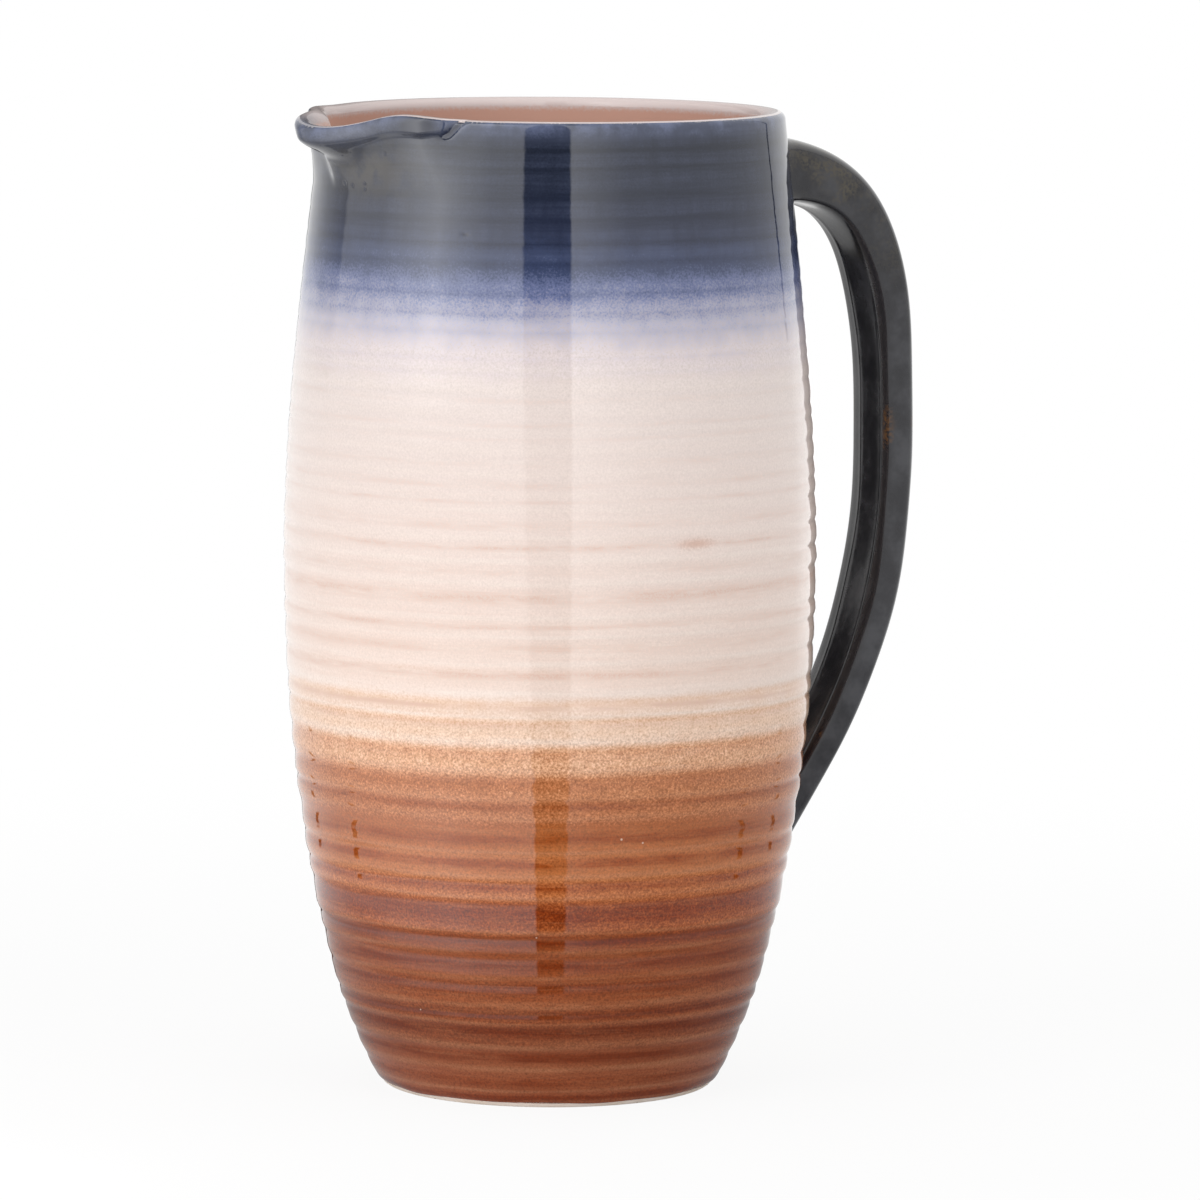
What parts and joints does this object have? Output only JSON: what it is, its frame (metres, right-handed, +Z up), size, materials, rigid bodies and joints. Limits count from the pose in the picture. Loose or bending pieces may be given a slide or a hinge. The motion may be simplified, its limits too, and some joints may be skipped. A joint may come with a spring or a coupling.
{
  "type": "stoneware jug",
  "caption": "Tall thrown stoneware jug with a pulled spout, a strap handle opposite it and banded glaze, for holding and pouring drinks.",
  "frame": {"origin": "middle of the flat base, where the jug stands", "axes": "+Z up along the jug's axis, +X towards the handle, -X towards the spout"},
  "size_m": [0.1733, 0.136, 0.2507],
  "materials": {
    "clay": "bare fired stoneware, dry and slightly gritty",
    "lute": "bare fired slip, smeared",
    "inner_glaze": "glossy rose glaze",
    "rust_glaze": "glossy rust glaze, darker in the hollows of the throwing rings",
    "rose_glaze": "glossy pale rose glaze with a fine mottle",
    "blue_glaze": "glossy slate blue glaze, lighter where it is thin",
    "handle_glaze": "glossy near-black glaze, brown where it breaks over edges"
  },
  "bodies": {
    "root": {"clay_body": "clay", "inner_glaze": "inner_glaze", "rust_glaze": "rust_glaze", "rose_glaze": "rose_glaze", "blue_glaze": "blue_glaze", "handle_strap": "clay", "upper_lute": "lute", "lower_lute": "lute", "handle_glaze": "handle_glaze"}
  },
  "joints": []
}
